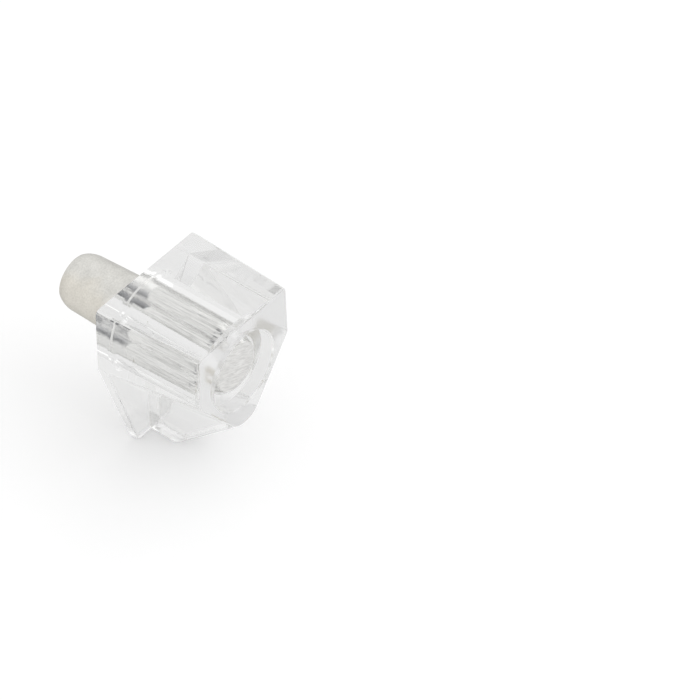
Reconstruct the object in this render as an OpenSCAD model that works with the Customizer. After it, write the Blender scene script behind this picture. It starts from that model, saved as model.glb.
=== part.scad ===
// Shelf support pin: a clear moulded block with a wall plate and a web, moulded round a steel pin.
// The pin goes into a drilled hole in a cabinet side, and the shelf rests on the block's level top face.
// All lengths are in millimetres and all angles are in degrees.
// Frame: +Z is up and +Y points into the cabinet side. The origin is on the pin's axis, at the wall face.

/* [Block] */
// Width of the shelf face at the wall
shelf_w = 11.3; // [9.5:0.1:13]
// Width of the shelf face at the front
front_w = 10.2; // [8.4:0.1:12]
// Distance from the wall face to the front face
body_d = 9.4; // [8:0.1:12]
// Height of the sides at the front, from the shelf face down to the side corners
side_h = 4.7; // [4:0.1:6]
// Lean of the sides, which spread towards the side corners
side_lean = 2; // [0:0.5:8]
// Height of the front face
front_h = 10.3; // [9:0.1:12]
// Width of the front face's foot, which is rounded into the two flanks
front_foot_w = 1.9; // [1.4:0.1:2.5]
// Share of the foot's width that its rounding takes up
foot_round = 0.9; // [0.2:0.1:0.9]

/* [Wall plate and web] */
// Height from the foot to the shelf face
body_h = 15.5; // [14:0.1:20]
// Thickness of the wall plate
plate_t = 0.8; // [0.6:0.1:1.2]
// Height of the sides at the wall, from the shelf face down to where the plate turns in
plate_side_h = 5.7; // [4:0.1:7]
// Width of the wall plate's bottom edge
plate_foot_w = 5.6; // [3.4:0.1:6.4]
// Thickness of the web under the block
web_t = 3; // [2.5:0.1:3.6]
// Depth of the rounding across the web's lower edge
web_round = 0.5; // [0.2:0.05:0.7]
// Distance from the wall face to the front of the web's foot
foot_d = 3.6; // [2.4:0.1:5]

/* [Edges] */
// Rounding of the edges round the front face, the web and the plate
edge_r = 0.2; // [0.05:0.05:0.3]
// Rounding of the front face's top corners, inside its rounded edge
top_corner_r = 0.25; // [0:0.05:0.4]
// Rounding of the front face's side corners, inside its rounded edge
side_corner_r = 0.4; // [0:0.05:0.6]
// Rounding of the bottom corners of the web and the plate, inside their rounded edges
foot_corner_r = 0.3; // [0:0.05:0.4]

/* [Pin] */
// Diameter of the pin, which suits a drilled shelf hole
pin_d = 5; // [4:0.1:5.4]
// Distance from the shelf face down to the pin's axis
pin_drop = 4.9; // [4.2:0.1:5.4]
// Length of the pin beyond the wall face
pin_free_l = 7.2; // [6:0.1:10]
// Distance from the wall face to the end of the pin's straight seat
pin_seat_l = 2.4; // [1:0.1:3]
// Radius that the slim stretch loses between the seat and the nose
slim_drop = 0.12; // [0.02:0.02:0.3]
// Radius that the rounded nose loses down to its flat tip
nose_drop = 0.34; // [0.1:0.02:0.6]
// Length of the rounded nose
nose_l = 1.2; // [0.7:0.1:1.8]
// Distance from the front face back to the pin's front end
front_end_gap = 0.75; // [0.3:0.05:1]
// Radius that the pin's rounded front end loses down to its flat disc
front_nose_drop = 0.42; // [0.2:0.02:0.6]
// Length of the pin's rounded front end
front_nose_l = 1.5; // [0.7:0.1:1.8]
// Height of the shoulder that locks the pin in the moulding
shoulder_step = 0.2; // [0.1:0.05:0.4]
// Distance that the shoulder reaches in from the wall face
shoulder_l = 0.4; // [0.3:0.1:4]

/* [Seat of the pin] */
// Gap between the pin and the plastic, which is nothing where plastic is moulded onto steel
pin_clearance = 0; // [0:0.01:0.05]
// Width of the ring-shaped recess round the pin's front end
recess_ring = 0.9; // [0.5:0.1:1.2]
// Depth of the recess in the front face
recess_depth = 1.15; // [0.6:0.05:1.5]
// Lead-in at the recess's rim
recess_rim = 0.12; // [0.05:0.01:0.2]
// Width of the collar's rim round the pin's shoulder
collar_rim = 0.15; // [0.1:0.05:0.4]
// Height of the collar that stands on the wall face
collar_h = 0.3; // [0.1:0.05:0.5]
// Spread of the collar towards the wall face
collar_flare = 0.1; // [0:0.05:0.3]

/* [Hidden] */

$fn = 96;
ARC_STEPS = 4;
WEB_STEPS = 6;
NOSE_STEPS = 8;
OVERSHOOT = 0.5;

clear_plastic = [0.86, 0.87, 0.88, 0.5];
plated_steel = [0.64, 0.62, 0.56];

// The front face's flanks give their slope to the whole block, so that each flank stays one plane.
flank_slope = (front_h - side_h) / (front_w / 2 + side_h * tan(side_lean) - front_foot_w / 2);
keel_r = foot_round * front_foot_w / 2 / tan(atan(flank_slope) / 2);

pin_r = pin_d / 2;
shoulder_r = pin_r + shoulder_step;
front_end_y = front_end_gap - body_d;
slim_r = pin_r - slim_drop;

// ---- outlines -------------------------------------------------------------------------------------

function corner_radii(foot_r) =
    let (top = edge_r + top_corner_r, side = edge_r + side_corner_r)
        [top, side, foot_r, foot_r, side, top];

function outward(p, q) = let (u = (q - p) / norm(q - p)) [u.y, -u.x];

// A convex outline, listed anticlockwise, with an arc at each corner and every side moved in by inset.
function rounded(points, radii, inset = 0) = [
    for (i = [0 : len(points) - 1])
        let (
            corner = points[i],
            n1 = outward(points[(i + len(points) - 1) % len(points)], corner),
            n2 = outward(corner, points[(i + 1) % len(points)]),
            centre = corner - radii[i] * (n1 + n2) / (1 + n1 * n2),
            start = atan2(n1.y, n1.x),
            turn = acos(min(1, n1 * n2))
        )
            for (step = [0 : ARC_STEPS])
                let (a = start + turn * step / ARC_STEPS)
                    centre + (radii[i] - inset) * [cos(a), sin(a)]
];

// The block's section at a distance out from the wall face: the shelf face, two sides and two flanks.
function block_outline(out) =
    let (
        taper = max(0, out - plate_t) / (body_d - plate_t),
        top = (shelf_w + (front_w - shelf_w) * taper) / 2,
        side = plate_side_h + (side_h - plate_side_h) * taper,
        middle = top + side * tan(side_lean),
        foot = front_foot_w / 2,
        keel = side + (middle - foot) * flank_slope
    )
        [
            [-top, 0], [-middle, -side], [-foot, -keel],
            [foot, -keel], [middle, -side], [top, 0]
        ];

// The wall plate's outline: the block's own top and sides, then straight edges down to the foot.
function plate_outline() =
    let (top = shelf_w / 2, middle = top + plate_side_h * tan(side_lean), foot = plate_foot_w / 2)
        [
            [-top, 0], [-middle, -plate_side_h], [-foot, -body_h],
            [foot, -body_h], [middle, -plate_side_h], [top, 0]
        ];

// The web's side view, from inside the block down to the foot.
function web_outline() =
    let (front = edge_r - body_d, back = -plate_t / 2)
        [[front, -side_h], [front, -front_h], [-foot_d, -body_h], [back, -body_h], [back, -side_h]];

// Pairs of [distance along, inset] that round the edge at the end of a loft.
function edge_steps(end) = [
    for (step = [0 : ARC_STEPS])
        let (a = 90 * step / ARC_STEPS)
            [end - edge_r * (1 - sin(a)), edge_r * (1 - cos(a))]
];

// A solid skin over rings of points, each ring anticlockwise as seen from the last ring's side.
module loft(rings) {
    size = len(rings[0]);
    last = len(rings) - 1;
    polyhedron(
        points = [for (ring = rings) each ring],
        faces = concat(
            [[for (i = [0 : size - 1]) i]],
            [
                for (r = [0 : last - 1], i = [0 : size - 1])
                    let (next = (i + 1) % size)
                        [r * size + i, (r + 1) * size + i, (r + 1) * size + next, r * size + next]
            ],
            [[for (i = [size - 1 : -1 : 0]) last * size + i]]
        )
    );
}

// ---- the moulding ---------------------------------------------------------------------------------

module block() {
    steps = concat([[plate_t / 2, 0], [plate_t, 0]], edge_steps(body_d));
    loft([
        for (s = steps)
            [for (p = rounded(block_outline(s[0]), corner_radii(keel_r), s[1])) [p.x, -s[0], p.y]]
    ]);
}

module wall_plate() {
    radii = corner_radii(edge_r + foot_corner_r);
    steps = concat([[0, 0]], edge_steps(plate_t));
    loft([
        for (s = steps)
            [for (p = rounded(plate_outline(), radii, s[1])) [p.x, -s[0], p.y]]
    ]);
}

module web() {
    steps = [
        for (step = [-WEB_STEPS : WEB_STEPS])
            let (a = 90 * step / WEB_STEPS)
                [web_t / 2 * sin(a), web_round * (1 - cos(a))]
    ];
    radii = [for (corner = web_outline()) web_round + foot_corner_r];
    loft([
        for (s = steps)
            [for (p = rounded(web_outline(), radii, s[1])) [s[0], p.x, p.y]]
    ]);
}

// Revolves the children, whose X is the radius and whose Y runs along the pin towards its free end.
module turned() {
    rotate([-90, 0, 0])
        rotate_extrude()
            children();
}

module collar() {
    rim = shoulder_r + collar_rim;
    turned()
        polygon([
            [0, -plate_t / 2], [rim + collar_flare, -plate_t / 2],
            [rim + collar_flare, 0], [rim, collar_h], [0, collar_h]
        ]);
}

// The hole that the plastic leaves round the pin: a bore and, next to the wall face, the shoulder's seat.
module pin_bore() {
    bore_r = pin_r + pin_clearance;
    seat_r = shoulder_r + pin_clearance;
    seat_start = -shoulder_l - pin_clearance;
    turned() {
        translate([0, -body_d])
            square([bore_r, body_d]);
        translate([0, seat_start])
            square([seat_r, collar_h + OVERSHOOT - seat_start]);
    }
}

module front_recess() {
    ring_r = pin_r + recess_ring;
    mouth_r = ring_r + recess_rim + OVERSHOOT;
    turned()
        polygon([
            [0, -body_d - OVERSHOOT], [mouth_r, -body_d - OVERSHOOT],
            [ring_r, recess_rim - body_d], [ring_r, recess_depth - body_d], [0, recess_depth - body_d]
        ]);
}

module support_body() {
    color(clear_plastic)
        difference() {
            union() {
                translate([0, 0, pin_drop]) {
                    block();
                    wall_plate();
                    web();
                }
                collar();
            }
            pin_bore();
            front_recess();
        }
}

// ---- the pin --------------------------------------------------------------------------------------

// Pairs of [distance along, radius lost] over a rounded nose, in line with the pin where it starts.
function nose_arc(length, drop) =
    let (arc_r = (length ^ 2 + drop ^ 2) / (2 * drop), turn = asin(length / arc_r))
        [
            for (step = [0 : NOSE_STEPS])
                let (a = turn * step / NOSE_STEPS)
                    [arc_r * sin(a), arc_r * (1 - cos(a))]
        ];

function front_nose() =
    let (arc = nose_arc(front_nose_l, front_nose_drop), start = front_end_y + front_nose_l)
        [for (i = [NOSE_STEPS : -1 : 0]) [pin_r - arc[i][1], start - arc[i][0]]];

function free_nose() = [
    for (p = nose_arc(nose_l, nose_drop)) [slim_r - p[1], pin_free_l - nose_l + p[0]]
];

module steel_pin() {
    color(plated_steel)
        turned()
            polygon(concat(
                [[0, front_end_y]],
                front_nose(),
                [
                    [pin_r, -shoulder_l], [shoulder_r, -shoulder_l], [shoulder_r, collar_h],
                    [pin_r, collar_h], [pin_r, pin_seat_l]
                ],
                free_nose(),
                [[0, pin_free_l]]
            ));
}

support_body();
steel_pin();
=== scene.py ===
"""Shelf support pin: finishes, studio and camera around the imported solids."""

import functools
import logging
import math
from dataclasses import asdict, dataclass, fields
from enum import Enum

import bpy
from mathutils import Matrix, Vector


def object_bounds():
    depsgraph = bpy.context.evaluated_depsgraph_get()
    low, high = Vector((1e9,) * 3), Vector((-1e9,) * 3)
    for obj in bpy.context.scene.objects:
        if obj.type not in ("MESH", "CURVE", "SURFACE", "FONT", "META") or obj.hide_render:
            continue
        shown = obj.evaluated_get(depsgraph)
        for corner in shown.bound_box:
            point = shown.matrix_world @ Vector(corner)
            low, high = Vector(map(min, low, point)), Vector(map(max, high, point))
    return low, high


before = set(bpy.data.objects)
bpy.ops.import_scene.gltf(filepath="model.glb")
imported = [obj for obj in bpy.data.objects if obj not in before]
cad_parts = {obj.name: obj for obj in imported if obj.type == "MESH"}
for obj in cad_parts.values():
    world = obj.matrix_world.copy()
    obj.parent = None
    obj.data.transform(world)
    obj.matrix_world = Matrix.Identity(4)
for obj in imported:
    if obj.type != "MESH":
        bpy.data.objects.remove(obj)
CAD_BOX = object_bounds()

Triple = tuple[float, float, float]
Colour = Triple
Span = tuple[float, float]
Stops = tuple[Span, ...]

MM = 0.001
DEEPEST_PATH = 32
WHITE: Colour = (1.0, 1.0, 1.0)
UNSTRETCHED: Triple = (1.0, 1.0, 1.0)
UNTURNED: Triple = (0.0, 0.0, 0.0)
LOG = logging.getLogger("shelf_support_pin")


class Solid(Enum):
    """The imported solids, by name."""

    BODY = "support_body"
    PIN = "steel_pin"


class Slot(Enum):
    """The record's material slots, by name."""

    CLEAR = "clear_plastic"
    STEEL = "plated_steel"


class Ray(Enum):
    """The kinds of ray that a surface can tell apart."""

    CAMERA = "Is Camera Ray"
    GLOSSY = "Is Glossy Ray"
    TRANSMISSION = "Is Transmission Ray"


# ---- node trees and shader maths ------------------------------------------------------------------


class Wire:
    """A node's output, which takes part in Python expressions by adding Math nodes."""

    def __init__(self, tree: "Tree", socket: bpy.types.NodeSocket | None) -> None:
        """Wraps a tree's output socket, or None for a node that has no output."""
        self.tree = tree
        self.socket = socket

    def math(self, operation: str, *others: "Wire | float") -> "Wire":
        """Adds one Math node, with wires or numbers as its further operands."""
        values = dict(enumerate((self, *others)))
        return self.tree.node("ShaderNodeMath", values, operation=operation)

    def __add__(self, other: "Wire | float") -> "Wire":
        """Adds a wire or a number."""
        return self.math("ADD", other)

    def __sub__(self, other: "Wire | float") -> "Wire":
        """Takes away a wire or a number."""
        return self.math("SUBTRACT", other)

    def __rsub__(self, other: float) -> "Wire":
        """Takes the wire away from a number."""
        return self.tree.node("ShaderNodeMath", {0: other, 1: self}, operation="SUBTRACT")

    def __mul__(self, other: "Wire | float") -> "Wire":
        """Multiplies by a wire or a number."""
        return self.math("MULTIPLY", other)

    def __lt__(self, other: float) -> "Wire":
        """Gives 1 where the wire is below a number, and 0 elsewhere."""
        return self.math("LESS_THAN", other)

    def __gt__(self, other: float) -> "Wire":
        """Gives 1 where the wire is above a number, and 0 elsewhere."""
        return self.math("GREATER_THAN", other)

    __radd__ = __add__
    __rmul__ = __mul__


Value = Wire | Triple | float
Values = dict[int | str, Value]


class Tree:
    """A node tree, with one method that adds any node."""

    def __init__(self, tree: bpy.types.NodeTree) -> None:
        """Empties the node tree of a material, of the world or of a modifier, to build in it."""
        self.tree = tree
        tree.nodes.clear()

    def node(self, kind: str, values: Values | None = None, out: int | str = 0, **settings: object) -> Wire:
        """Adds a node of any kind.

        Args:
            kind: The node's type.
            values: Numbers, colours or wires, by the name or place of their socket.
            out: The output socket that is wanted, by name or place.
            settings: The node's own settings, which are set before its sockets.

        Returns:
            The wanted output.
        """
        made = self.tree.nodes.new(kind)
        for name, value in settings.items():
            if name == "stops":
                self._set_stops(made.color_ramp, value)
            else:
                setattr(made, name, value)
        for key, value in (values or {}).items():
            self._feed(self._pick(made.inputs, key), value)
        return Wire(self, self._pick(made.outputs, out) if made.outputs else None)

    def _feed(self, socket: bpy.types.NodeSocket, value: Value) -> None:
        """Links a wire to an input, or sets the input's own value.

        Args:
            socket: The input.
            value: The wire, colour, vector or number.
        """
        if isinstance(value, Wire):
            self.tree.links.new(value.socket, socket)
        elif socket.type == "RGBA":
            socket.default_value = (*value, 1.0)
        else:
            socket.default_value = value

    @staticmethod
    def _pick(sockets: bpy.types.bpy_prop_collection, key: int | str) -> bpy.types.NodeSocket:
        """Finds one of a node's sockets.

        Args:
            sockets: The node's inputs or outputs.
            key: The socket's place, or its name among those that the node's settings leave in use.

        Returns:
            The socket.
        """
        if isinstance(key, int):
            return sockets[key]
        return next(socket for socket in sockets if socket.enabled and socket.name == key)

    @staticmethod
    def _set_stops(ramp: bpy.types.ColorRamp, stops: Stops) -> None:
        """Gives a ramp its grey stops.

        Args:
            ramp: The ramp to fill.
            stops: Pairs of a place and a grey level.
        """
        while len(ramp.elements) < len(stops):
            ramp.elements.new(1.0)
        for element, (place, level) in zip(ramp.elements, stops):
            element.position = place
            element.color = (level, level, level, 1.0)


class Shader(Tree):
    """A shader's node tree, with the patterns and blends that the finishes share."""

    def object_place(self, stretch: Triple = UNSTRETCHED, turn: Triple = UNTURNED) -> Wire:
        """Gives the place on the object.

        Args:
            stretch: How far the pattern is drawn out along each of its axes.
            turn: The pattern's turn about each axis, in radians.

        Returns:
            The place as a vector.
        """
        place = self.node("ShaderNodeTexCoord", out="Object")
        values = {"Vector": place, "Scale": stretch, "Rotation": turn}
        return self.node("ShaderNodeMapping", values, vector_type="TEXTURE")

    def axes(self, place: Wire) -> tuple[Wire, Wire, Wire]:
        """Splits a place into its distances along X, Y and Z."""
        split = self.node("ShaderNodeSeparateXYZ", {"Vector": place})
        return tuple(Wire(self, socket) for socket in split.socket.node.outputs)

    def noise(self, place: Wire, size: float, detail: float = 2.0, roughness: float = 0.5) -> Wire:
        """Gives soft noise from 0 to 1, in blots of a size in metres, with finer layers laid over them."""
        values = {"Vector": place, "Scale": 1.0 / size, "Detail": detail, "Roughness": roughness}
        return self.node("ShaderNodeTexNoise", values)

    def ramp(self, level: Wire, stops: Stops) -> Wire:
        """Maps a level through grey stops."""
        return self.node("ShaderNodeValToRGB", {"Fac": level}, stops=stops)

    def mix(self, level: Wire, low: Colour | Wire, high: Colour | Wire) -> Wire:
        """Mixes two colours by a level, which is held between 0 and 1."""
        values = {"Factor": level, "A": low, "B": high}
        return self.node("ShaderNodeMix", values, out="Result", data_type="RGBA")

    def bump(self, height: Wire, distance: float, normal: Wire | None = None) -> Wire:
        """Turns a height level into a normal.

        Args:
            height: The level, from 0 to 1.
            distance: The height of level 1, in metres.
            normal: The normal to start from, where it isn't the surface's own.

        Returns:
            The bumped normal.
        """
        values = {"Height": height, "Distance": distance}
        if normal is not None:
            values["Normal"] = normal
        return self.node("ShaderNodeBump", values, out="Normal")

    def ray(self, kind: Ray) -> Wire:
        """Gives 1 for one kind of ray, and 0 for the others."""
        return self.node("ShaderNodeLightPath", out=kind.value)

    def inner_ray(self) -> Wire:
        """Gives 1 for the rays that bright metal mirrors or clear plastic lets through."""
        return self.ray(Ray.GLOSSY).math("MAXIMUM", self.ray(Ray.TRANSMISSION))

    def blend(self, share: Wire, first: Wire, second: Wire) -> Wire:
        """Blends two shaders by the share of the second."""
        return self.node("ShaderNodeMixShader", {0: share, 1: first, 2: second})

    def output(self, surface: Wire) -> None:
        """Ends a material's tree with its surface."""
        self.node("ShaderNodeOutputMaterial", {"Surface": surface})


def new_material(name: str) -> tuple[bpy.types.Material, Shader]:
    """Makes an empty material with nodes.

    Args:
        name: The material's name.

    Returns:
        The material and its shader.
    """
    material = bpy.data.materials.new(name)
    material.use_nodes = True
    return material, Shader(material.node_tree)


# ---- finishes -------------------------------------------------------------------------------------


@dataclass(frozen=True)
class ClearPlastic:
    """Clear glossy plastic with a moulded ripple, faintly frosted at its front, its recess and its foot, with
    painted shade darkening its front.
    """

    tint: Colour = (0.955, 0.955, 0.95)
    ior: float = 1.49
    roughness: float = 0.02
    ripple_size: float = 2.2 * MM
    ripple_detail: float = 3.0
    ripple_shade: float = 0.985
    ripple_height: float = 0.004 * MM
    front_y: float = -9.35 * MM
    # Painted shade: the front face's colour is darkened to stand in for the shaded floor that it shows.
    front_painted_shade: Colour = (0.9, 0.9, 0.9)
    front_frost: float = 0.18
    recess_y: float = -8.1 * MM
    recess_r: float = 3.6 * MM
    recess_frost: float = 0.2
    foot_z: float = -7.5 * MM
    foot_frost: float = 0.15

    def material(self) -> bpy.types.Material:
        """Builds the material.

        Returns:
            The finished material.
        """
        material, s = new_material(Slot.CLEAR.value)
        place = s.object_place()
        across, along, height = s.axes(place)
        from_axis = (across * across + height * height).math("SQRT")
        front = along < self.front_y
        recess = (along < self.recess_y) * (from_axis < self.recess_r) * (1.0 - front)
        foot = height < self.foot_z
        frost = front * self.front_frost + recess * self.recess_frost + foot * self.foot_frost

        ripple = s.noise(place, self.ripple_size, detail=self.ripple_detail)
        trough = tuple(self.ripple_shade * level for level in self.tint)
        # The front region takes the painted-shade colour in place of the clear tint.
        values = {
            "Base Color": s.mix(front, s.mix(ripple, trough, self.tint), self.front_painted_shade),
            "Roughness": frost + self.roughness,
            "IOR": self.ior,
            "Transmission Weight": 1.0,
            "Normal": s.bump(ripple, self.ripple_height),
        }
        s.output(s.node("ShaderNodeBsdfPrincipled", values))
        return material


@dataclass(frozen=True)
class PlatedSteel:
    """Nickel-coloured plating: satin where it is free, burnished and drawn in the bore, sawn at the disc."""

    edge_tint: Colour = (0.8, 0.8, 0.79)
    satin: Span = (0.26, 0.38)
    grey_light: Colour = (0.86, 0.85, 0.81)
    grey_dark: Colour = (0.61, 0.60, 0.565)
    blot_size: float = 1.6 * MM
    blot_detail: float = 4.0
    grain_size: float = 0.14 * MM
    grain_detail: float = 3.0
    grain_height: float = 0.006 * MM
    mottle_roughness: float = 0.6
    mottle_gain: float = 1.5
    mottle_drop: float = 1.0

    tan_light: Colour = (0.875, 0.845, 0.775)
    tan_dark: Colour = (0.66, 0.632, 0.57)
    tan_away: Triple = (0.78, 0.0, 0.627)
    tan_fade: float = 1.2 * MM
    stain_size: float = 2.5 * MM
    stain_gain: float = 3.0
    stain_drop: float = 1.2

    bore_y: float = 0.31 * MM
    bore_length: float = 8.0 * MM
    bore_light: Colour = (0.92, 0.92, 0.91)
    bore_back_dark: Colour = (0.74, 0.74, 0.73)
    bore_front_dark: Colour = (0.5, 0.5, 0.49)
    burnished: float = 0.12
    line_width: float = 0.13 * MM
    line_stretch: float = 25.0
    line_stops: Stops = ((0.34, 0.0), (0.5, 0.75), (0.62, 1.0))
    line_height: float = 0.02 * MM

    # Painted reflection: near-black patches on the nose stand in for dark surroundings seen through the
    # plastic.
    nose_span: Span = (-8.2 * MM, -7.3 * MM)
    nose_painted_dark_reflection: Colour = (0.1, 0.1, 0.11)
    patch_size: float = 0.9 * MM
    patch_detail: float = 1.0
    patch_stops: Stops = ((0.5, 0.0), (0.62, 1.0))

    disc_y: float = -8.55 * MM
    disc_light: Colour = (1.0, 0.995, 0.98)
    disc_dark: Colour = (0.79, 0.785, 0.77)
    saw_width: float = 0.16 * MM
    saw_stretch: float = 6.0
    saw_turn: float = math.radians(25)
    saw_stops: Stops = ((0.38, 0.0), (0.62, 1.0))
    saw_height: float = 0.006 * MM
    scratch_detail: float = 3.0
    scratch_roughness: float = 0.7

    def material(self) -> bpy.types.Material:
        """Builds the material.

        Returns:
            The finished material.
        """
        material, s = new_material(Slot.STEEL.value)
        place = s.object_place()
        _, along, _ = s.axes(place)
        disc = along < self.disc_y
        bore = (along < self.bore_y) * (1.0 - disc)
        blots = s.noise(place, self.blot_size, self.blot_detail, self.mottle_roughness)
        grain = s.noise(place, self.grain_size, self.grain_detail, self.mottle_roughness)
        lines, saw = self._scratches(s)

        smoothest, roughest = self.satin
        satin = blots * (roughest - smoothest) + smoothest
        tint = s.mix(bore, self._free_tint(s, place, blots + grain), self._bore_tint(s, place, along, lines))
        bumped = s.bump(grain * (1.0 - bore), self.grain_height)
        bumped = s.bump(lines * bore, self.line_height, normal=bumped)
        values = {
            "Base Color": s.mix(disc, tint, s.mix(saw, self.disc_dark, self.disc_light)),
            "Metallic": 1.0,
            "Specular Tint": self.edge_tint,
            "Roughness": satin * (1.0 - bore) + bore * self.burnished,
            "Normal": s.bump(saw * disc, self.saw_height, normal=bumped),
        }
        s.output(s.node("ShaderNodeBsdfPrincipled", values))
        return material

    def _scratches(self, s: Shader) -> tuple[Wire, Wire]:
        """Gives the two kinds of fine scratch.

        Args:
            s: The shader to build in.

        Returns:
            The levels of the lines along the pin and of the slanted saw marks.
        """
        drawn = s.object_place(stretch=(1.0, self.line_stretch, 1.0))
        sawn = s.object_place(stretch=(self.saw_stretch, 1.0, 1.0), turn=(0.0, self.saw_turn, 0.0))
        lines = s.noise(drawn, self.line_width, self.scratch_detail, self.scratch_roughness)
        marks = s.noise(sawn, self.saw_width, self.scratch_detail, self.scratch_roughness)
        return lines, s.ramp(marks, self.saw_stops)

    def _free_tint(self, s: Shader, place: Wire, mottle: Wire) -> Wire:
        """Gives the mottled colour of the free end, which turns tan towards one side.

        Args:
            s: The shader to build in.
            place: The place on the object.
            mottle: The sum of the blots and the grain.

        Returns:
            The colour.
        """
        level = mottle * self.mottle_gain - self.mottle_drop
        grey = s.mix(level, self.grey_dark, self.grey_light)
        tan = s.mix(level, self.tan_dark, self.tan_light)
        ends = {0: place, 1: self.tan_away}
        away = s.node("ShaderNodeVectorMath", ends, out="Value", operation="DOT_PRODUCT")
        stains = s.noise(place, self.stain_size) * self.stain_gain - self.stain_drop
        return s.mix(stains - away * (1.0 / self.tan_fade), grey, tan)

    def _bore_tint(self, s: Shader, place: Wire, along: Wire, lines: Wire) -> Wire:
        """Gives the colour in the bore: lines that darken forwards, with a few painted dark reflections at
        the nose.

        Args:
            s: The shader to build in.
            place: The place on the object.
            along: The distance along the pin.
            lines: The level of the drawn lines.

        Returns:
            The colour.
        """
        start, end = self.nose_span
        # Painted reflection: patches of near-black on the nose, in place of reflected dark surroundings.
        painted_reflection_patches = s.ramp(s.noise(place, self.patch_size, detail=self.patch_detail), self.patch_stops)
        nose = (along > start) * (along < end) * painted_reflection_patches
        deep = s.mix(along * (-1.0 / self.bore_length), self.bore_back_dark, self.bore_front_dark)
        return s.mix(s.ramp(lines, self.line_stops), s.mix(nose, deep, self.nose_painted_dark_reflection), self.bore_light)


@dataclass(frozen=True)
class WhiteFloor:
    """A matt white floor that keeps its shadow, and is mostly plain white where metal or plastic shows it."""

    colour: Colour = (0.7, 0.7, 0.7)
    lift: float = 0.35
    inner_level: float = 0.915
    inner_share: float = 0.8

    def material(self) -> bpy.types.Material:
        """Builds the material.

        Returns:
            The finished material.
        """
        material, s = new_material("white_floor")
        matt = s.node("ShaderNodeBsdfDiffuse", {"Color": self.colour})
        glow = s.node("ShaderNodeEmission", {"Color": WHITE, "Strength": self.lift})
        calm = s.node("ShaderNodeEmission", {"Color": WHITE, "Strength": self.inner_level})
        lifted = s.node("ShaderNodeAddShader", {0: matt, 1: glow})
        shown = s.blend(s.ray(Ray.CAMERA), matt, lifted)
        s.output(s.blend(s.inner_ray() * self.inner_share, shown, calm))
        return material


@dataclass(frozen=True)
class ArchCloth:
    """Matt cloth that lightens with its height and across its width."""

    dark: Colour = (0.1, 0.105, 0.12)
    light: Colour = (0.92, 0.93, 0.96)
    climb: float = 0.8
    spread: float = 0.6

    def material(self, low: float, high: float, middle: float, width: float) -> bpy.types.Material:
        """Builds the material.

        Args:
            low: The height of the cloth's lower end.
            high: The height of its upper end.
            middle: The distance along Y of its middle line.
            width: Its width, along Y.

        Returns:
            The finished material.
        """
        material, s = new_material("flag_cloth")
        _, depth, height = s.axes(s.object_place())
        level = (height - low) * (self.climb / (high - low)) + (depth - middle) * (self.spread / width)
        s.output(s.node("ShaderNodeBsdfDiffuse", {"Color": s.mix(level, self.dark, self.light)}))
        return material


# ---- the pieces -----------------------------------------------------------------------------------


@dataclass(frozen=True)
class RoundFaces:
    """How a solid's faces are smoothed, and how far they move out in front of a point along Y."""

    sharp_angle: float
    swell: float = 0.0
    swell_before: float = 0.35 * MM
    weld: float = 0.0005 * MM

    def dress(self, solid: bpy.types.Object, material: bpy.types.Material) -> None:
        """Gives a solid its material and its round faces, by a modifier.

        Args:
            solid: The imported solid.
            material: Its material.
        """
        solid.data.materials.clear()
        solid.data.materials.append(material)
        modifier = solid.modifiers.new("round_faces", "NODES")
        modifier.node_group = self._tree()
        sizes = asdict(self)
        for item in modifier.node_group.interface.items_tree:
            if item.name in sizes:
                modifier[item.identifier] = sizes[item.name]

    @staticmethod
    @functools.cache
    def _tree() -> bpy.types.NodeTree:
        """Builds the tree that welds the triangles, smooths the round faces and moves those before a point.

        Returns:
            The geometry tree, with an input for each size.
        """
        group = bpy.data.node_groups.new("round_faces", "GeometryNodeTree")
        group.interface.new_socket("Geometry", in_out="INPUT", socket_type="NodeSocketGeometry")
        group.interface.new_socket("Geometry", in_out="OUTPUT", socket_type="NodeSocketGeometry")
        for size in fields(RoundFaces):
            group.interface.new_socket(size.name, in_out="INPUT", socket_type="NodeSocketFloat")
        t = Tree(group)
        loose, angle_limit, swell, swell_before, weld = (
            t.node("NodeGroupInput", out=name)
            for name in ("Geometry", "sharp_angle", "swell", "swell_before", "weld")
        )
        solid = t.node("GeometryNodeMergeByDistance", {"Geometry": loose, "Distance": weld})
        solid = t.node("GeometryNodeSetShadeSmooth", {"Geometry": solid}, domain="FACE")

        angle = t.node("GeometryNodeInputMeshEdgeAngle", out="Unsigned Angle")
        limits = {"A": angle, "B": angle_limit}
        shallow = t.node("FunctionNodeCompare", limits, data_type="FLOAT", operation="LESS_EQUAL")
        edges = {"Geometry": solid, "Shade Smooth": shallow}
        solid = t.node("GeometryNodeSetShadeSmooth", edges, domain="EDGE")

        place = t.node("GeometryNodeInputPosition")
        along = t.node("ShaderNodeSeparateXYZ", {"Vector": place}, out="Y")
        limits = {"A": along, "B": swell_before}
        before = t.node("FunctionNodeCompare", limits, data_type="FLOAT", operation="LESS_THAN")
        outwards = {"Vector": t.node("GeometryNodeInputNormal"), "Scale": swell}
        step = t.node("ShaderNodeVectorMath", outwards, operation="SCALE")
        moved = {"Geometry": solid, "Selection": before, "Offset": step}
        t.node("NodeGroupOutput", {"Geometry": t.node("GeometryNodeSetPosition", moved)})
        return group


@dataclass(frozen=True)
class SupportBody:
    """The clear moulding: block, wall plate, web and collar."""

    finish: ClearPlastic = ClearPlastic()
    faces: RoundFaces = RoundFaces(sharp_angle=math.radians(16))

    def dress(self) -> bpy.types.Object:
        """Gives the moulding its finish, its smooth round faces and its plain flat ones.

        Returns:
            The dressed solid.
        """
        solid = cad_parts[Solid.BODY.value]
        self.faces.dress(solid, self.finish.material())
        flat = solid.modifiers.new("flat_faces", "WEIGHTED_NORMAL")
        flat.keep_sharp = True
        return solid


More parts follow.
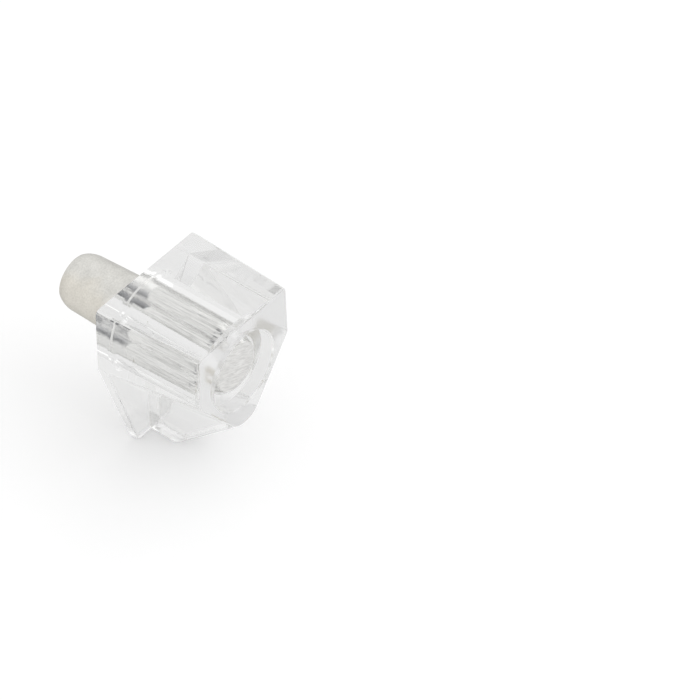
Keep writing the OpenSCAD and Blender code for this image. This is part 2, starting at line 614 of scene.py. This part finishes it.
@dataclass(frozen=True)
class SteelPin:
    """The plated pin, which is a hair slimmer in the moulding, so that a film of air lies round it."""

    finish: PlatedSteel = PlatedSteel()
    faces: RoundFaces = RoundFaces(sharp_angle=math.radians(25), swell=-0.003 * MM)

    def dress(self) -> bpy.types.Object:
        """Gives the pin its finish and its smooth round faces.

        Returns:
            The dressed solid.
        """
        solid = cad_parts[Solid.PIN.value]
        self.faces.dress(solid, self.finish.material())
        return solid


# ---- studio ---------------------------------------------------------------------------------------


def new_object(name: str, data: bpy.types.ID) -> bpy.types.Object:
    """Puts a mesh, a light or a camera in the scene.

    Args:
        name: The object's name.
        data: What it holds.

    Returns:
        The new object.
    """
    made = bpy.data.objects.new(name, data)
    bpy.context.scene.collection.objects.link(made)
    return made


@dataclass(frozen=True)
class Floor:
    """A level floor, a hair below the foot."""

    half: float = 3.0
    gap: float = 0.03 * MM
    finish: WhiteFloor = WhiteFloor()

    def build(self) -> None:
        """Lays the floor."""
        low = CAD_BOX[0].z - self.gap
        h = self.half
        mesh = bpy.data.meshes.new("floor")
        mesh.from_pydata([(-h, -h, low), (h, -h, low), (h, h, low), (-h, h, low)], [], [(0, 1, 2, 3)])
        mesh.materials.append(self.finish.material())
        floor = new_object("floor", mesh)


@dataclass(frozen=True)
class Backdrop:
    """The world: white to the camera, nearly white in metal and plastic, and a soft light on matt faces."""

    straight: float = 1.0
    inner: float = 0.93
    ambient: float = 0.85

    def build(self) -> None:
        """Sets the world."""
        world = bpy.data.worlds.new("world")
        world.use_nodes = True
        s = Shader(world.node_tree)
        straight, inner, ambient = (
            s.node("ShaderNodeBackground", {"Color": WHITE, "Strength": level})
            for level in (self.straight, self.inner, self.ambient)
        )
        sky = s.blend(s.ray(Ray.CAMERA), s.blend(s.inner_ray(), ambient, inner), straight)
        s.node("ShaderNodeOutputWorld", {"Surface": sky})
        bpy.context.scene.world = world


@dataclass(frozen=True)
class Flag:
    """A dark arch of cloth behind the camera, which gives clear and bright faces their depth."""

    span: Span = (math.radians(-72), math.radians(-18))
    lean: float = math.radians(26)
    radius: float = 0.6
    width: float = 0.16
    steps: int = 24
    cloth: ArchCloth = ArchCloth()

    def build(self) -> None:
        """Hangs the arch, unseen by the camera."""
        start, end = self.span
        ring = self.radius * math.cos(self.lean)
        back = -self.radius * math.sin(self.lean)
        corners: list[Triple] = []
        for step in range(self.steps + 1):
            turn = start + (end - start) * step / self.steps
            for side in (-0.5, 0.5):
                corners.append((ring * math.sin(turn), back + side * self.width, ring * math.cos(turn)))
        faces = [(2 * i, 2 * i + 2, 2 * i + 3, 2 * i + 1) for i in range(self.steps)]
        mesh = bpy.data.meshes.new("flag")
        mesh.from_pydata(corners, [], faces)
        low, high = ring * math.cos(start), ring * math.cos(end)
        mesh.materials.append(self.cloth.material(low, high, back, self.width))
        flag = new_object("flag", mesh)
        flag.visible_camera = False


@dataclass(frozen=True)
class Lamp:
    """A square lamp that faces the support, and that neither the camera nor a mirror shows."""

    name: str
    place: Triple
    size: float
    power: float
    shows_through: bool

    def build(self) -> None:
        """Hangs the lamp, which may show through clear faces."""
        data = bpy.data.lights.new(self.name, "AREA")
        data.size = self.size
        data.energy = self.power
        lamp = new_object(self.name, data)
        lamp.location = self.place
        lamp.rotation_mode = "QUATERNION"
        lamp.rotation_quaternion = Vector(self.place).to_track_quat("Z", "Y")
        lamp.visible_camera = False
        lamp.visible_glossy = False
        lamp.visible_transmission = self.shows_through


@dataclass(frozen=True)
class Studio:
    """A white floor, a plain world, a dark arch and two soft lamps, one of which glints in the plastic."""

    floor: Floor = Floor()
    backdrop: Backdrop = Backdrop()
    flag: Flag = Flag()
    key: Lamp = Lamp("key", place=(0.2, -1.0, 0.75), size=1.0, power=3.8, shows_through=False)
    glint: Lamp = Lamp("glint", place=(0.95, -0.1, 0.8), size=1.5, power=2.0, shows_through=True)

    def build(self) -> None:
        """Adds everything that stands round the support."""
        for thing in (self.floor, self.backdrop, self.flag, self.key, self.glint):
            thing.build()


@dataclass(frozen=True)
class Camera:
    """A long lens that looks down on the front of the support from its left."""

    azimuth: float = math.radians(-52.06)
    elevation: float = math.radians(44.48)
    distance: float = 237.33 * MM
    origin_right: float = -15.27 * MM
    origin_up: float = 2.44 * MM
    lens: float = 161.2
    sensor: float = 36.0
    clip: Span = (0.01, 20.0)

    def build(self) -> None:
        """Adds the camera, so that the origin lies where the framing says."""
        a, e = self.azimuth, self.elevation
        back = Vector((math.sin(a) * math.cos(e), -math.cos(a) * math.cos(e), math.sin(e)))
        right = Vector((math.cos(a), math.sin(a), 0.0))
        up = back.cross(right)
        place = back * self.distance - right * self.origin_right - up * self.origin_up
        data = bpy.data.cameras.new("camera")
        data.lens = self.lens
        data.sensor_width = self.sensor
        data.clip_start, data.clip_end = self.clip
        camera = new_object("camera", data)
        camera.matrix_world = Matrix.Translation(place) @ Matrix((right, up, back)).transposed().to_4x4()
        bpy.context.scene.camera = camera


def set_view() -> None:
    """Sets the plain view, and lets light cross the many faces of the clear plastic."""
    scene = bpy.context.scene
    scene.view_settings.view_transform = "Standard"
    scene.cycles.max_bounces = DEEPEST_PATH
    scene.cycles.glossy_bounces = DEEPEST_PATH
    scene.cycles.transmission_bounces = DEEPEST_PATH


def main() -> None:
    """Dresses each piece, then sets the stage."""
    logging.basicConfig(level=logging.INFO, format="%(message)s")
    for maker in (SupportBody(), SteelPin()):
        LOG.info("dressed %s", maker.dress().name)
    Studio().build()
    Camera().build()
    set_view()


if __name__ == "__main__":
    main()
